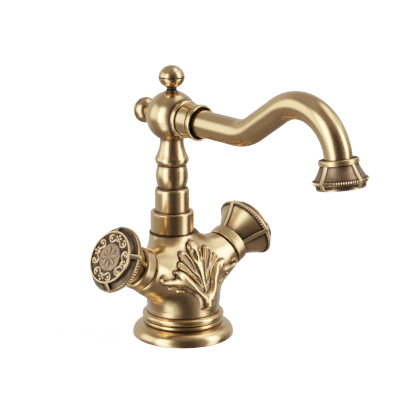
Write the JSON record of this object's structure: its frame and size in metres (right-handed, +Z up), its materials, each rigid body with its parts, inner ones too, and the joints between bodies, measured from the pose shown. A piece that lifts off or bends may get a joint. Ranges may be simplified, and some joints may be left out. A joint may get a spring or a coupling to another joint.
{
  "type": "bathroom mixer faucet",
  "caption": "Traditional antique-brass basin mixer with an acanthus-leaf body, ribbed bell handles with ceramic valves, and a swan-neck swivel spout with an aerator.",
  "frame": {"origin": "centre of the base on the deck that the faucet stands on", "axes": "+Z up, the spout points to -Y at rest, the hot handle is on the -X side and the cold handle on the +X side"},
  "size_m": [0.1453, 0.2049, 0.1826],
  "materials": {
    "antique_brass": "brushed antique brass with dark patina in the recesses",
    "valve_brass": "plain machined brass",
    "aerator_brass": "machined, dull",
    "screw_steel": "bright zinc",
    "ceramic": "lapped ceramic",
    "rubber": "moulded matt",
    "slip_plastic": "moulded acetal"
  },
  "bodies": {
    "body": {"base_flange": "antique_brass", "base_gasket": "rubber", "mixer_body": "antique_brass", "collar_nut": "antique_brass", "swivel_washer": "slip_plastic", "headwork_hot": "valve_brass", "headwork_oring_hot": "rubber", "fixed_disc_hot": "ceramic", "seat_seal_hot": "rubber", "headwork_cold": "valve_brass", "headwork_oring_cold": "rubber", "fixed_disc_cold": "ceramic", "seat_seal_cold": "rubber"},
    "hot_handle": {"spindle_hot": "valve_brass", "moving_disc_hot": "ceramic", "handle_hot": "antique_brass", "handle_screw_hot": "screw_steel", "handle_cap_hot": "antique_brass"},
    "cold_handle": {"spindle_cold": "valve_brass", "moving_disc_cold": "ceramic", "handle_cold": "antique_brass", "handle_screw_cold": "screw_steel", "handle_cap_cold": "antique_brass"},
    "spout": {"spout_column": "antique_brass", "spigot_orings": "rubber", "hub_ball": "antique_brass", "top_finial": "antique_brass", "rear_finial": "antique_brass", "spout_socket": "antique_brass", "spout_tube": "antique_brass", "nozzle_bell": "antique_brass", "aerator_gasket": "rubber", "aerator_housing": "aerator_brass", "aerator_screen": "slip_plastic"}
  },
  "joints": [
    {"name": "spout_swivel", "type": "hinge", "parent": "body", "child": "spout", "pos_m": [0, 0.0107, 0.08], "axis": [0, 0, 1], "continuous": true},
    {"name": "hot_handle_turn", "type": "hinge", "parent": "body", "child": "hot_handle", "pos_m": [0, 0, 0.0329], "axis": [-0.887, 0, 0.4617], "range_deg": [0, 90]},
    {"name": "cold_handle_turn", "type": "hinge", "parent": "body", "child": "cold_handle", "pos_m": [0, 0, 0.0329], "axis": [0.887, 0, 0.4617], "range_deg": [0, 90]}
  ]
}
